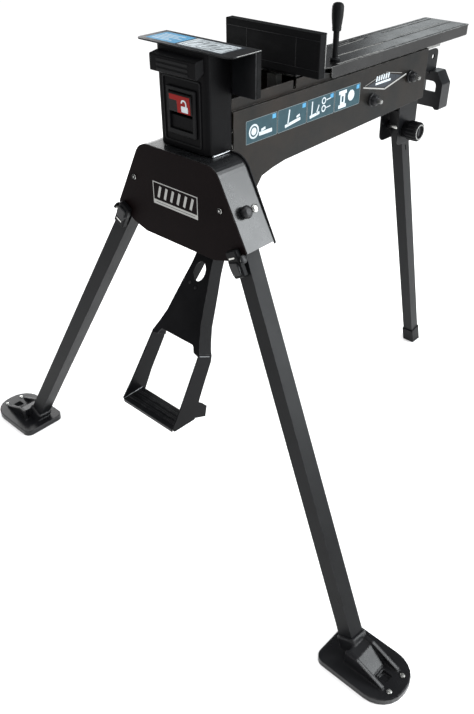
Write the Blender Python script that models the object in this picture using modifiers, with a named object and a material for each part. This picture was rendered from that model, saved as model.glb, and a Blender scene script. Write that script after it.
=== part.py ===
"""A foot-operated clamping stand: a box beam with two padded jaws, on two splayed front legs and a rear leg.

The beam runs along Y with the pedal and the fixed jaw at the -Y end. Lengths are in metres.
"""

import math

import bmesh
import bpy
from mathutils import Matrix, Vector

for old in list(bpy.data.objects):
    bpy.data.objects.remove(old)

# Driving dimensions. Heights are above the design plane, which lies FLOOR_DROP above the floor.
FLOOR_DROP = 0.014
BACK_SHIFT = 0.02145
GAP = 0.0003
SHEET = 0.002

FRONT_PLATE_Y = -0.381
BACK_PLATE_Y = -0.316
BRACKET_HALF = 0.148
BRACKET_FOOT_Z = 0.598
BRACKET_TOP_Z = 0.716
SHOULDER_RADIUS = 0.030
SIDE_ANGLE = math.radians(28.6)

COLUMN_HALF = 0.053
COLUMN_FRONT_Y = -0.361
COLUMN_BACK_Y = -0.309
HOOD_HALF = 0.0475
HOOD_FRONT_Y = -0.378
JAW_TOP_Z = 0.8667
JAW_FOOT_Z = 0.8005
JAW_HALF = 0.098
FIXED_FACE_Y = -0.296
MOVING_FACE_Y = -0.164

SLIDE_HALF = 0.0516
SLIDE_TOP_Z = 0.7943
SLIDE_REAR_Y = 0.392
SKIRT_FRONT_Y = -0.065

BEAM_HALF = 0.0545
BEAM_STRIP_HALF = 0.0485
BEAM_FOLD_Z = 0.7735
BEAM_REAR_Y = 0.238
BEAM_FRONT_Y = BACK_PLATE_Y + GAP

PEDAL_PIVOT = Vector((0, -0.262, 0.640))
PEDAL_TILT = math.radians(29.6)
PEDAL_KNEE = Vector((0, -0.4056, 0.3809))
PEDAL_HALF = 0.0600
PEDAL_SPLAY = math.radians(3.6)
ROD_PIN_RISE = 0.052

LEG_TOP = Vector((0.1245, -0.361, 0.600))
LEG_RAKE = math.radians(6.87)
LEG_HALF = 0.0142
LEG_PIVOT_Y = -0.333
LEG_PIVOT_Z = 0.649
LEG_BUTTON_Y = -0.357

REAR_LEG_TOP = Vector((0, 0.2628, 0.578))
REAR_LEG_LEAN = math.radians(16.9)
REAR_LEG_HALF = 0.0130
REAR_CHEEK_HALF = 0.022
REAR_PIVOT = Vector((0, 0.2425, 0.610))

PAD_INNER = 0.046
PAD_OUTER = 0.097
PAD_HALF = 0.0490
PAD_OFFSET = -0.0075
PAD_RIB_HALF = 0.0220
PAD_SCREW_HALF = 0.0190

BLACK_PAINT = ((0.018, 0.018, 0.018), 0.0, 0.45)
BROWN_PAINT = ((0.030, 0.026, 0.023), 0.0, 0.5)
BLACK_PLASTIC = ((0.015, 0.015, 0.016), 0.0, 0.6)
JAW_RUBBER = ((0.012, 0.012, 0.012), 0.0, 0.75)
BRIGHT_STEEL = ((0.62, 0.62, 0.60), 1.0, 0.3)
PLAIN_STEEL = ((0.30, 0.30, 0.29), 1.0, 0.45)
RED_PLASTIC = ((0.55, 0.02, 0.015), 0.0, 0.4)

PARTS = bpy.data.collections.new("clamping_stand")
bpy.context.scene.collection.children.link(PARTS)
HOLDER_PLACES = {}


def empty(name, place, parent=None):
    """An empty on a joint's axis, which carries the pieces that turn or slide there."""
    holder = bpy.data.objects.new(name, None)
    PARTS.objects.link(holder)
    holder.parent = parent
    holder.location = Vector(place) - (HOLDER_PLACES[parent.name] if parent else Vector())
    HOLDER_PLACES[name] = Vector(place)
    return holder


STAND = empty("stand", (0, 0, 0))
STAND.location = (0, BACK_SHIFT, FLOOR_DROP)


def named(obj, name, finish, holder):
    """Names a finished piece, gives it its material and hangs it on its holder."""
    colour, metallic, roughness = finish
    obj.name = name
    obj.data.name = name
    skin = bpy.data.materials.new(name)
    skin.use_nodes = True
    shader = skin.node_tree.nodes["Principled BSDF"]
    shader.inputs["Base Color"].default_value = (*colour, 1)
    shader.inputs["Metallic"].default_value = metallic
    shader.inputs["Roughness"].default_value = roughness
    obj.data.materials.clear()
    obj.data.materials.append(skin)
    obj.parent = holder
    obj.matrix_parent_inverse = Matrix.Translation(-HOLDER_PLACES[holder.name])
    return obj


def from_bmesh(shape, frame=None):
    """A loose object from a bmesh, placed by a frame."""
    mesh = bpy.data.meshes.new("shape")
    shape.to_mesh(mesh)
    shape.free()
    obj = bpy.data.objects.new("shape", mesh)
    PARTS.objects.link(obj)
    obj.matrix_world = frame or Matrix()
    return obj


def box(low, high, frame=None, bevel=0.0):
    """A block between two corners of its frame, with its edges bevelled."""
    low, high = Vector(low), Vector(high)
    shape = bmesh.new()
    bmesh.ops.create_cube(shape, size=1)
    bmesh.ops.scale(shape, vec=high - low, verts=shape.verts)
    bmesh.ops.translate(shape, vec=(low + high) / 2, verts=shape.verts)
    if bevel:
        bmesh.ops.bevel(shape, geom=shape.edges[:], offset=bevel, segments=1, affect="EDGES")
    return from_bmesh(shape, frame)


def plane(axis, at=0.0):
    """The frame of an outline whose extrusion runs along an axis, its middle at the given place."""
    turns = {
        "X": Matrix(((0, 0, 1), (1, 0, 0), (0, 1, 0))),
        "Y": Matrix(((1, 0, 0), (0, 0, -1), (0, 1, 0))),
        "Z": Matrix.Identity(3),
    }
    turn = turns[axis]
    middle = {"X": (at, 0, 0), "Y": (0, at, 0), "Z": (0, 0, at)}[axis]
    return Matrix.Translation(middle) @ turn.to_4x4()


def evaluated_mesh(obj):
    bpy.context.view_layer.update()
    graph = bpy.context.evaluated_depsgraph_get()
    return bpy.data.meshes.new_from_object(obj.evaluated_get(graph))


def from_curve(curve, frame):
    """The closed mesh of a filled or bevelled curve, placed by a frame."""
    drawn = bpy.data.objects.new(curve.name, curve)
    PARTS.objects.link(drawn)
    mesh = evaluated_mesh(drawn)
    bpy.data.objects.remove(drawn)
    shape = bmesh.new()
    shape.from_mesh(mesh)
    bmesh.ops.remove_doubles(shape, verts=shape.verts, dist=0.00001)
    bmesh.ops.recalc_face_normals(shape, faces=shape.faces)
    return from_bmesh(shape, frame)


def sheet(outline, low, high, axis="Z", holes=(), frame=None):
    """A flat outline with holes, extruded along an axis of its frame from low to high."""
    curve = bpy.data.curves.new("outline", "CURVE")
    curve.dimensions = "2D"
    curve.fill_mode = "BOTH"
    curve.extrude = (high - low) / 2
    for loop in (outline, *holes):
        spline = curve.splines.new("POLY")
        spline.points.add(len(loop) - 1)
        spline.use_cyclic_u = True
        for point, (x, y) in zip(spline.points, loop):
            point.co = (x, y, 0, 1)
    return from_curve(curve, (frame or Matrix()) @ plane(axis, (low + high) / 2))


def turned(profile, frame, steps=20):
    """A profile of (radius, height) from the top down, turned round the frame's Z axis."""
    shape = bmesh.new()
    points = [shape.verts.new((radius, 0, height)) for radius, height in profile]
    for start, end in zip(points, points[1:]):
        shape.edges.new((start, end))
    obj = from_bmesh(shape, frame)
    screw = obj.modifiers.new("turn", "SCREW")
    screw.steps = steps
    screw.render_steps = steps
    screw.use_merge_vertices = True
    screw.merge_threshold = 0.00001
    solid = settled(obj)
    solid.data.set_sharp_from_angle(angle=math.radians(40))
    return solid


def settled(obj):
    """Turns an object's modifiers into plain mesh."""
    mesh = evaluated_mesh(obj)
    obj.modifiers.clear()
    obj.data = mesh
    return obj


def combine(obj, others, operation):
    for other in others:
        step = obj.modifiers.new(operation.lower(), "BOOLEAN")
        step.operation = operation
        step.object = other
        settled(obj)
        bpy.data.objects.remove(other)
    return obj


def cut(obj, *others):
    return combine(obj, others, "DIFFERENCE")


def join(obj, *others):
    return combine(obj, others, "UNION")


def keep(obj, *others):
    return combine(obj, others, "INTERSECT")


def rod(radius, start, end, sides=20):
    """A plain cylinder between two points."""
    start, end = Vector(start), Vector(end)
    return turned([(0, (end - start).length), (radius, (end - start).length), (radius, 0), (0, 0)],
                  aimed(start, end - start), sides)


def aimed(place, direction):
    """A frame at a place, with its Z axis along a direction."""
    turn = Vector(direction).to_track_quat("Z", "X").to_matrix().to_4x4()
    return Matrix.Translation(place) @ turn


def rounded(corners, steps=4):
    """An outline whose (x, y, radius) corners become arcs that meet both their sides."""
    outline = []
    for index, (x, y, radius) in enumerate(corners):
        corner = Vector((x, y))
        if not radius:
            outline.append((x, y))
            continue
        before = (Vector(corners[index - 1][:2]) - corner).normalized()
        after = (Vector(corners[(index + 1) % len(corners)][:2]) - corner).normalized()
        half = before.angle(after) / 2
        centre = corner + (before + after).normalized() * radius / math.sin(half)
        start = corner + before * radius / math.tan(half) - centre
        end = corner + after * radius / math.tan(half) - centre
        first = math.atan2(start.y, start.x)
        sweep = (math.atan2(end.y, end.x) - first + math.pi) % (2 * math.pi) - math.pi
        for step in range(steps + 1):
            angle = first + sweep * step / steps
            outline.append((centre.x + radius * math.cos(angle), centre.y + radius * math.sin(angle)))
    return outline


def ring(x, y, radius, count=16, stretch=1.0):
    """A round outline, or an oval one when its second half-width is stretched."""
    angles = [2 * math.pi * step / count for step in range(count)]
    return [(x + radius * math.cos(a), y + stretch * radius * math.sin(a)) for a in angles]


def mirrored(half):
    """The +X half of an outline, or of its corners, closed by its mirror image."""
    return half + [(-x, *rest) for x, *rest in reversed(half)]


def helix(radius, length, turns, thickness, frame):
    """A coil spring along the frame's Z axis."""
    curve = bpy.data.curves.new("coil", "CURVE")
    curve.dimensions = "3D"
    curve.bevel_depth = thickness / 2
    curve.bevel_resolution = 0
    curve.use_fill_caps = True
    count = 10 * turns
    spline = curve.splines.new("POLY")
    spline.points.add(count)
    for step, point in enumerate(spline.points):
        angle = 2 * math.pi * step / 10
        point.co = (radius * math.cos(angle), radius * math.sin(angle), length * step / count, 1)
    return from_curve(curve, frame)


# Where the joints are.
SIDE_NORMAL = Vector((math.cos(SIDE_ANGLE), 0, math.sin(SIDE_ANGLE)))
SIDE_UP = Vector((-math.sin(SIDE_ANGLE), 0, math.cos(SIDE_ANGLE)))
LEG_PIVOT_RISE = (LEG_PIVOT_Z - BRACKET_FOOT_Z) / math.cos(SIDE_ANGLE)
LEG_PIVOT = Vector((BRACKET_HALF, LEG_PIVOT_Y, BRACKET_FOOT_Z)) + SIDE_UP * LEG_PIVOT_RISE
FLIP = Matrix.Diagonal((-1, 1, 1, 1))

SLIDE = empty("jaw_slide", (0, 0, SLIDE_TOP_Z), STAND)
LEVER = empty("clamp_lever", (0.031, -0.032, SLIDE_TOP_Z), SLIDE)
PEDAL = empty("pedal", PEDAL_PIVOT, STAND)
PULL = empty("pull_link", (0, PEDAL_PIVOT.y, 0.695), STAND)
ROCKER = empty("rocker", (0, -0.352, 0.789), STAND)
RELEASE = empty("release_link", (0.030, 0, 0.735), STAND)
HOLD = empty("hold_lever", (0, 0.127, 0.700), STAND)
REAR = empty("rear_leg_pivot", REAR_PIVOT, STAND)
KNOB = empty("rear_knob_axis", REAR_PIVOT, STAND)
LEG_HOLDERS = {}
BUTTON_HOLDERS = {}
for side_name, sign in (("right", 1), ("left", -1)):
    pivot = Vector((sign * LEG_PIVOT.x, LEG_PIVOT.y, LEG_PIVOT.z))
    LEG_HOLDERS[side_name] = empty(f"leg_pivot_{side_name}", pivot, STAND)
    BUTTON_HOLDERS[side_name] = empty(f"button_axis_{side_name}", (pivot.x, LEG_BUTTON_Y, pivot.z), STAND)


def side_frame(place):
    """A frame on the right side plane: X out of the plane, Y along the beam, Z up the slope."""
    turn = Matrix((SIDE_NORMAL, (0, 1, 0), SIDE_UP)).transposed().to_4x4()
    return Matrix.Translation(place) @ turn


def both_sides(obj, name, finish, holders=None):
    """Names a right-hand piece and makes its mirrored left-hand twin."""
    bpy.context.view_layer.update()
    twin = bpy.data.objects.new(name, obj.data.copy())
    PARTS.objects.link(twin)
    twin.data.transform(FLIP)
    twin.data.flip_normals()
    twin.matrix_world = FLIP @ obj.matrix_world @ FLIP
    right = holders["right"] if holders else STAND
    left = holders["left"] if holders else STAND
    named(obj, f"{name}_right", finish, right)
    named(twin, f"{name}_left", finish, left)


# Leg bracket ---------------------------------------------------------------------------------


def bracket_outline(lip=0.0):
    """Half of the bracket's face: sloping side, flared foot, rounded shoulder."""
    shoulder = BRACKET_HALF - (BRACKET_TOP_Z - BRACKET_FOOT_Z) * math.tan(SIDE_ANGLE)
    half = [
        (0.080, 0.565 - lip, 0),
        (0.110, 0.574 - lip, 0),
        (BRACKET_HALF + lip, BRACKET_FOOT_Z - lip, 0.003),
        (shoulder + lip, BRACKET_TOP_Z + lip, SHOULDER_RADIUS + lip),
    ]
    return rounded(mirrored(half), 6)


def make_bracket():
    front = sheet(bracket_outline(), FRONT_PLATE_Y, FRONT_PLATE_Y + SHEET, "Y")
    for x, z in ((0.0935, 0.652), (-0.1015, 0.654)):
        cut(front, rod(0.0026, (x, FRONT_PLATE_Y - 0.01, z), (x, FRONT_PLATE_Y + 0.01, z), 12))
    named(front, "front_plate", BROWN_PAINT, STAND)

    back = sheet(bracket_outline(0.003), BACK_PLATE_Y - SHEET, BACK_PLATE_Y, "Y")
    foot = side_frame((BRACKET_HALF, BACK_PLATE_Y, BRACKET_FOOT_Z))
    for inner, top in ((-0.037, 0.056), (-0.0064, 0.076)):
        for sign in (1, -1):
            notch = box((inner, -0.02, -0.03), (-0.0022, 0.02, top), foot)
            if sign < 0:
                notch.data.transform(FLIP)
                notch.data.flip_normals()
                notch.matrix_world = FLIP @ notch.matrix_world @ FLIP
            cut(back, notch)
    named(back, "back_plate", BLACK_PAINT, STAND)

    slope = math.tan(SIDE_ANGLE)
    shoulder = BRACKET_HALF - (BRACKET_TOP_Z - BRACKET_FOOT_Z) * slope
    step = SHEET / math.cos(SIDE_ANGLE)
    inner_shoulder = shoulder - step + SHEET * slope
    half = [
        (BRACKET_HALF - step, BRACKET_FOOT_Z, 0),
        (BRACKET_HALF, BRACKET_FOOT_Z, 0),
        (shoulder, BRACKET_TOP_Z, SHOULDER_RADIUS),
    ]
    inner = [(inner_shoulder, BRACKET_TOP_Z - SHEET, SHOULDER_RADIUS - SHEET)]
    corners = mirrored(half) + mirrored(inner)[::-1]
    band = sheet(rounded(corners, 6), FRONT_PLATE_Y + SHEET + GAP, BACK_PLATE_Y - SHEET - GAP, "Y")
    for sign in (1, -1):
        outward = Vector((sign * SIDE_NORMAL.x, 0, SIDE_NORMAL.z))
        for y, radius in ((LEG_PIVOT_Y, 0.0043), (LEG_BUTTON_Y, 0.0054)):
            middle = Vector((sign * LEG_PIVOT.x, y, LEG_PIVOT.z))
            cut(band, rod(radius, middle - outward * 0.01, middle + outward * 0.01, 16))
    named(band, "bracket_band", BLACK_PAINT, STAND)

    for name, x, z in (("plate_screw_right", 0.0935, 0.652), ("plate_screw_left", -0.1015, 0.654)):
        profile = [(0, 0.0022), (0.0030, 0.0020), (0.0045, 0.0008), (0.0045, GAP),
                   (0.0022, GAP), (0.0022, -0.008), (0, -0.008)]
        screw = turned(profile, aimed((x, FRONT_PLATE_Y, z), (0, -1, 0)), 12)
        named(screw, name, BRIGHT_STEEL, STAND)


def make_leg_stops():
    """A block at the front of each leg, with the bright pin that the leg rests against."""
    frame = side_frame((0.1335, FRONT_PLATE_Y - GAP, 0.5800))
    block = box((-0.012, -0.011, -0.022), (0.012, 0, 0.022), frame, 0.002)
    hole = rod(0.0033, (0.1236 - 0.02, -0.3868, 0.582 - 0.007), (0.1464 + 0.02, -0.3868, 0.590 + 0.007), 12)
    both_sides(cut(block, hole), "leg_stop", BLACK_PLASTIC)
    pin = rod(0.0030, (0.1200, -0.3868, 0.5807), (0.1500, -0.3868, 0.5912), 12)
    both_sides(pin, "stop_pin", BRIGHT_STEEL)


# Column and fixed jaw --------------------------------------------------------------------------


def make_column():
    corner = 0.008
    outer = mirrored([(COLUMN_HALF, COLUMN_FRONT_Y, corner), (COLUMN_HALF, COLUMN_BACK_Y, corner / 2)])
    wall = 0.0025
    inner = mirrored([(COLUMN_HALF - wall, COLUMN_FRONT_Y + wall, corner / 2),
                      (COLUMN_HALF - wall, COLUMN_BACK_Y - wall, corner / 4)])
    low, high = BRACKET_TOP_Z + GAP + 0.003, JAW_TOP_Z - SHEET - GAP
    shell = sheet(rounded(outer), low, high, "Z", [rounded(inner)])
    cut(shell, box((-0.0285, COLUMN_FRONT_Y - 0.01, 0.7425), (0.0285, COLUMN_FRONT_Y + 0.01, 0.8085)))
    cut(shell, rod(0.0036, (0.030, COLUMN_BACK_Y - 0.01, 0.735), (0.030, COLUMN_BACK_Y + 0.01, 0.735), 12))
    named(shell, "column_shell", BLACK_PLASTIC, STAND)

    root = COLUMN_FRONT_Y - GAP
    side = [(root, 0.8385, 0), (HOOD_FRONT_Y, 0.8297, 0.002), (HOOD_FRONT_Y, 0.8552, 0.002), (root, 0.8580, 0)]
    hood = sheet(rounded(side, 3), -HOOD_HALF, HOOD_HALF, "X")
    named(hood, "column_hood", BLACK_PLASTIC, STAND)

    rim = box((-0.031, COLUMN_FRONT_Y - 0.0035, 0.740), (0.031, COLUMN_FRONT_Y - GAP, 0.811), bevel=0.0012)
    neck = box((-0.0282, COLUMN_FRONT_Y - 0.002, 0.7428), (0.0282, COLUMN_FRONT_Y + 0.0045, 0.8082))
    window = box((-0.0248, COLUMN_FRONT_Y - 0.02, 0.748), (0.0248, COLUMN_FRONT_Y + 0.03, 0.8052))
    named(cut(join(rim, neck), window), "switch_bezel", BLACK_PLASTIC, STAND)


def make_rocker():
    """A rocker key that tilts on its middle, with a tail that pushes the release rod."""
    y, z = -0.352, 0.789
    face = [(y - 0.0130, z - 0.0150, 0.002), (y - 0.0150, z + 0.0140, 0.002), (y - 0.003, z + 0.0150, 0.002),
            (y + 0.006, z, 0.004), (y + 0.004, z - 0.0150, 0)]
    key = sheet(rounded(face, 3), -0.0240, 0.0240, "X")
    tail = box((0.016, y - 0.002, 0.728), (0.0225, y + 0.003, z - 0.010))
    named(join(key, tail), "release_rocker", RED_PLASTIC, ROCKER)


def make_fixed_jaw():
    plate_low = JAW_TOP_Z - SHEET
    corners = mirrored([(JAW_HALF, COLUMN_FRONT_Y + 0.001, 0.010), (JAW_HALF, FIXED_FACE_Y, 0)])
    top = sheet(rounded(corners), plate_low, JAW_TOP_Z)
    wall_y = COLUMN_BACK_Y + GAP
    wall = box((-JAW_HALF, wall_y, JAW_FOOT_Z), (JAW_HALF, wall_y + SHEET, plate_low + 0.001))
    named(join(top, wall), "fixed_jaw_plate", BLACK_PAINT, STAND)
    pad_y = wall_y + SHEET + GAP
    pad = box((-JAW_HALF, pad_y, JAW_FOOT_Z), (JAW_HALF, FIXED_FACE_Y, plate_low - GAP), bevel=0.001)
    named(pad, "fixed_jaw_pad", JAW_RUBBER, STAND)


# Beam ------------------------------------------------------------------------------------------


def beam_side(inset):
    """The beam's side outline, in Y and Z, with its bottom edge deepening towards the bracket."""
    front, rear = BEAM_FRONT_Y + inset, BEAM_REAR_Y - inset
    bottom = [(rear, 0.681), (-0.05, 0.672), (-0.185, 0.668), (-0.214, 0.6636), (-0.242, 0.657),
              (-0.256, 0.640), (-0.270, 0.628), (front, 0.622)]
    return [(y, z + inset) for y, z in bottom]


def make_beam():
    walls = beam_side(0) + [(BEAM_FRONT_Y, BEAM_FOLD_Z), (BEAM_REAR_Y, BEAM_FOLD_Z)]
    beam = sheet(walls, -BEAM_HALF, BEAM_HALF, "X")
    strip = [(-0.3157, 0.770), (BEAM_REAR_Y, 0.770), (BEAM_REAR_Y, 0.782), (-0.060, 0.782),
             (-0.100, 0.7915), (-0.3157, 0.7915)]
    join(beam, sheet(strip, -BEAM_STRIP_HALF, BEAM_STRIP_HALF, "X"))
    web = [(0.30, 0.683), (-0.05, 0.674), (-0.195, 0.6695), (-0.195, 0.60), (-0.40, 0.60), (-0.40, 0.7715),
           (0.30, 0.7715)]
    cut(beam, sheet(web, -BEAM_HALF + SHEET, BEAM_HALF - SHEET, "X"))
    cut(beam, box((-BEAM_STRIP_HALF + SHEET, -0.40, 0.76), (BEAM_STRIP_HALF - SHEET, 0.30, 0.81)))
    cut(beam, box((-0.06, -0.33, BRACKET_TOP_Z + 0.002), (0.06, COLUMN_BACK_Y + 2 * GAP, 0.81)))
    cut(beam, box((-0.06, -0.163, 0.7765), (0.06, -0.155, 0.80)))
    jaw_room = box((-0.06, -0.33, 0.785), (0.06, COLUMN_BACK_Y + SHEET + 3 * GAP, 0.81))
    cut(beam, jaw_room)
    holes = ((0.0566, 0.715, 0.0042), (0.179, 0.733, 0.0042), (PEDAL_PIVOT.y, PEDAL_PIVOT.z, 0.0053))
    for y, z, radius in holes:
        cut(beam, rod(radius, (-0.07, y, z), (0.07, y, z), 16))
    named(beam, "main_beam", BROWN_PAINT, STAND)


def make_beam_bolts():
    for name, y, z in (("front", 0.0566, 0.715), ("rear", 0.179, 0.733)):
        length = 0.0775 + BEAM_HALF + 0.005
        profile = [(0, length), (0.0030, length), (0.0040, length - 0.002), (0.0040, 0.005 - GAP),
                   (0.0075, 0.005 - GAP), (0.0075, 0.001), (0.0065, 0), (0, 0)]
        bolt = turned(profile, aimed((-BEAM_HALF - 0.005, y, z), (1, 0, 0)), 16)
        named(bolt, f"beam_bolt_{name}", BRIGHT_STEEL, STAND)
        nut_profile = [(0.0043, 0.0145), (0.0060, 0.0145), (0.0088, 0.0115), (0.0098, 0.0070),
                       (0.0098, 0.0040), (0.0112, 0.0030), (0.0112, 0), (0.0043, 0), (0.0043, 0.0145)]
        nut = turned(nut_profile, aimed((BEAM_HALF + GAP, y, z), (1, 0, 0)), 16)
        named(nut, f"beam_nut_{name}", BLACK_PLASTIC, STAND)


def make_handle():
    """The rear carry handle, and the steel tongue that holds it to the beam."""
    outline = rounded(mirrored([(0.021, 0.631, 0), (0.025, 0.6265, 0.002), (0.0355, 0.6275, 0.004),
                                (0.0358, 0.680, 0.005), (0.0205, 0.7035, 0.005)]))
    hole = rounded(mirrored([(0.021, 0.6620, 0.003), (0.021, 0.684, 0.009)]))
    grip = sheet(outline, 0.345, 0.378, "Y", [hole])
    cut(grip, box((-0.021, 0.351, 0.60), (0.021, 0.39, 0.670)))
    cut(grip, box((-0.0018, 0.33, 0.6945), (0.0018, 0.39, 0.73)))
    named(grip, "carry_handle", BLACK_PLASTIC, STAND)
    tongue_outline = rounded([(0.165, 0.703, 0.006), (0.340, 0.703, 0), (0.3453, 0.6950, 0),
                              (0.371, 0.6950, 0), (0.3725, 0.7455, 0.012), (0.165, 0.7455, 0.006)])
    holes = [ring(0.354, 0.730, 0.005), ring(0.179, 0.733, 0.0043)]
    named(sheet(tongue_outline, -0.0015, 0.0015, "X", holes), "handle_tongue", BRIGHT_STEEL, STAND)


def make_rear_leg():
    side = rounded([(0.2110, 0.6798, 0), (0.2150, 0.5800, 0.014), (0.2795, 0.5800, 0.014), (0.2770, 0.6818, 0)])
    half = REAR_CHEEK_HALF
    inner = half - 0.0025
    bracket = sheet(side, -half, half, "X")
    cut(bracket, box((-inner, 0.15, 0.50), (inner, 0.30, 0.6765)))
    cut(bracket, rod(0.0053, (-0.04, REAR_PIVOT.y, REAR_PIVOT.z), (0.04, REAR_PIVOT.y, REAR_PIVOT.z), 16))
    named(bracket, "rear_leg_bracket", BLACK_PAINT, STAND)

    down = Vector((0, math.sin(REAR_LEG_LEAN), -math.cos(REAR_LEG_LEAN)))
    frame = aimed_square(REAR_LEG_TOP, down, Vector((1, 0, 0)))
    reach = (REAR_LEG_TOP.z + FLOOR_DROP) / math.cos(REAR_LEG_LEAN)
    end = reach - 0.0105
    half, wall = REAR_LEG_HALF, 0.0018
    tube = box((-half, -half, -0.075), (half, half, end), frame)
    cut(tube, box((-half + wall, -half + wall, -0.09), (half - wall, half - wall, end + 0.01), frame))
    cut(tube, rod(0.0053, (-0.04, REAR_PIVOT.y, REAR_PIVOT.z), (0.04, REAR_PIVOT.y, REAR_PIVOT.z), 16))
    cut(tube, box((half - 0.004, -0.0015, 0.010), (half + 0.004, 0.0015, 0.023), frame))
    named(tube, "rear_leg", BLACK_PAINT, REAR)

    shoe = half + 0.0025
    cap = box((-shoe, -shoe, end - 0.035), (shoe, shoe, reach + 0.02), frame, 0.0015)
    cut(cap, box((-half - GAP, -half - GAP, end - 0.05), (half + GAP, half + GAP, end + GAP), frame))
    cut(cap, box((-0.1, 0.3, -FLOOR_DROP - 0.1), (0.1, 0.6, -FLOOR_DROP)))
    named(cap, "rear_leg_cap", BLACK_PLASTIC, REAR)

    for name, sign in (("right", 1), ("left", -1)):
        length = inner - half - 2 * GAP
        profile = [(0.0054, length), (0.0090, length), (0.0090, 0), (0.0054, 0), (0.0054, length)]
        bush = turned(profile, aimed((sign * (half + GAP), REAR_PIVOT.y, REAR_PIVOT.z), (sign, 0, 0)), 16)
        named(bush, f"rear_leg_bush_{name}", BLACK_PLASTIC, REAR)

    bolt_profile = [(0, 0.070), (0.0050, 0.070), (0.0050, 0.006), (0.0090, 0.006), (0.0090, 0.001),
                    (0.008, 0), (0, 0)]
    bolt_start = -REAR_CHEEK_HALF - 0.006 - GAP
    bolt = turned(bolt_profile, aimed((bolt_start, REAR_PIVOT.y, REAR_PIVOT.z), (1, 0, 0)), 16)
    named(bolt, "knob_bolt", BRIGHT_STEEL, STAND)
    knob_profile = [(0, 0.0350), (0.0150, 0.0350), (0.0172, 0.0335), (0.0180, 0.0170), (0.0198, 0.0155),
                    (0.0198, 0.0030), (0.0180, 0), (0.0055, 0), (0.0055, 0.0200), (0, 0.0200)]
    knob_start = REAR_CHEEK_HALF + GAP
    knob = turned(knob_profile, aimed((knob_start, REAR_PIVOT.y, REAR_PIVOT.z), (1, 0, 0)), 24)
    named(knob, "rear_knob", BLACK_PLASTIC, KNOB)


def aimed_square(place, direction, across):
    """A frame with Z along a direction and X as given."""
    z_axis = Vector(direction).normalized()
    x_axis = Vector(across).normalized()
    y_axis = z_axis.cross(x_axis)
    return Matrix.Translation(place) @ Matrix((x_axis, y_axis, z_axis)).transposed().to_4x4()


# Front legs ------------------------------------------------------------------------------------


def make_front_legs():
    slope = math.cos(LEG_RAKE)
    down = -SIDE_UP * slope + Vector((0, -math.sin(LEG_RAKE), 0))
    frame = aimed_square(LEG_TOP, down, SIDE_NORMAL)
    reach = (LEG_TOP.z + FLOOR_DROP) / -down.z
    rise = (LEG_PIVOT - LEG_TOP).dot(-down) + 0.016
    end = reach - 0.020
    half, wall = LEG_HALF, 0.0018
    tube = box((-half, -half, -rise), (half, half, end), frame)
    cut(tube, box((-half + wall, -half + wall, -rise - 0.01), (half - wall, half - wall, end + 0.01), frame))
    button = Vector((LEG_PIVOT.x, LEG_BUTTON_Y, LEG_PIVOT.z))
    cut(tube, rod(0.0060, button - SIDE_NORMAL * 0.015, button, 16))
    both_sides(tube, "front_leg", BLACK_PAINT, LEG_HOLDERS)

    hinge_frame = side_frame(LEG_PIVOT)
    outline = rounded([(-0.037, -0.045, 0.003), (-0.010, -0.045, 0.003), (0.011, -0.011, 0.010),
                       (0.011, 0.011, 0.010), (-0.037, 0.016, 0.004)])
    holes = [ring(0, 0, 0.0043), ring(LEG_BUTTON_Y - LEG_PIVOT_Y, 0, 0.0060)]
    hinge = sheet(outline, -0.0050, -SHEET - GAP, "X", holes, hinge_frame)
    both_sides(hinge, "leg_hinge", PLAIN_STEEL, LEG_HOLDERS)

    profile = [(0, 0.0030), (0.0030, 0.0030), (0.0065, 0.0015), (0.0065, GAP), (0.0040, GAP),
               (0.0040, -0.0054), (0.0065, -0.0054), (0.0065, -0.0110), (0, -0.0110)]
    bolt = turned(profile, aimed(LEG_PIVOT, SIDE_NORMAL), 16)
    both_sides(bolt, "leg_pivot_bolt", BRIGHT_STEEL)

    profile = [(0, 0.0122), (0.0050, 0.0120), (0.0085, 0.0108), (0.0100, 0.0086), (0.0100, 0.0050),
               (0.0050, 0.0050), (0.0050, -0.0018), (0, -0.0018)]
    cap = turned(profile, aimed(button, SIDE_NORMAL), 20)
    both_sides(cap, "leg_button", BLACK_PLASTIC, BUTTON_HOLDERS)
    make_foot_pads(frame, reach, end)


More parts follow.
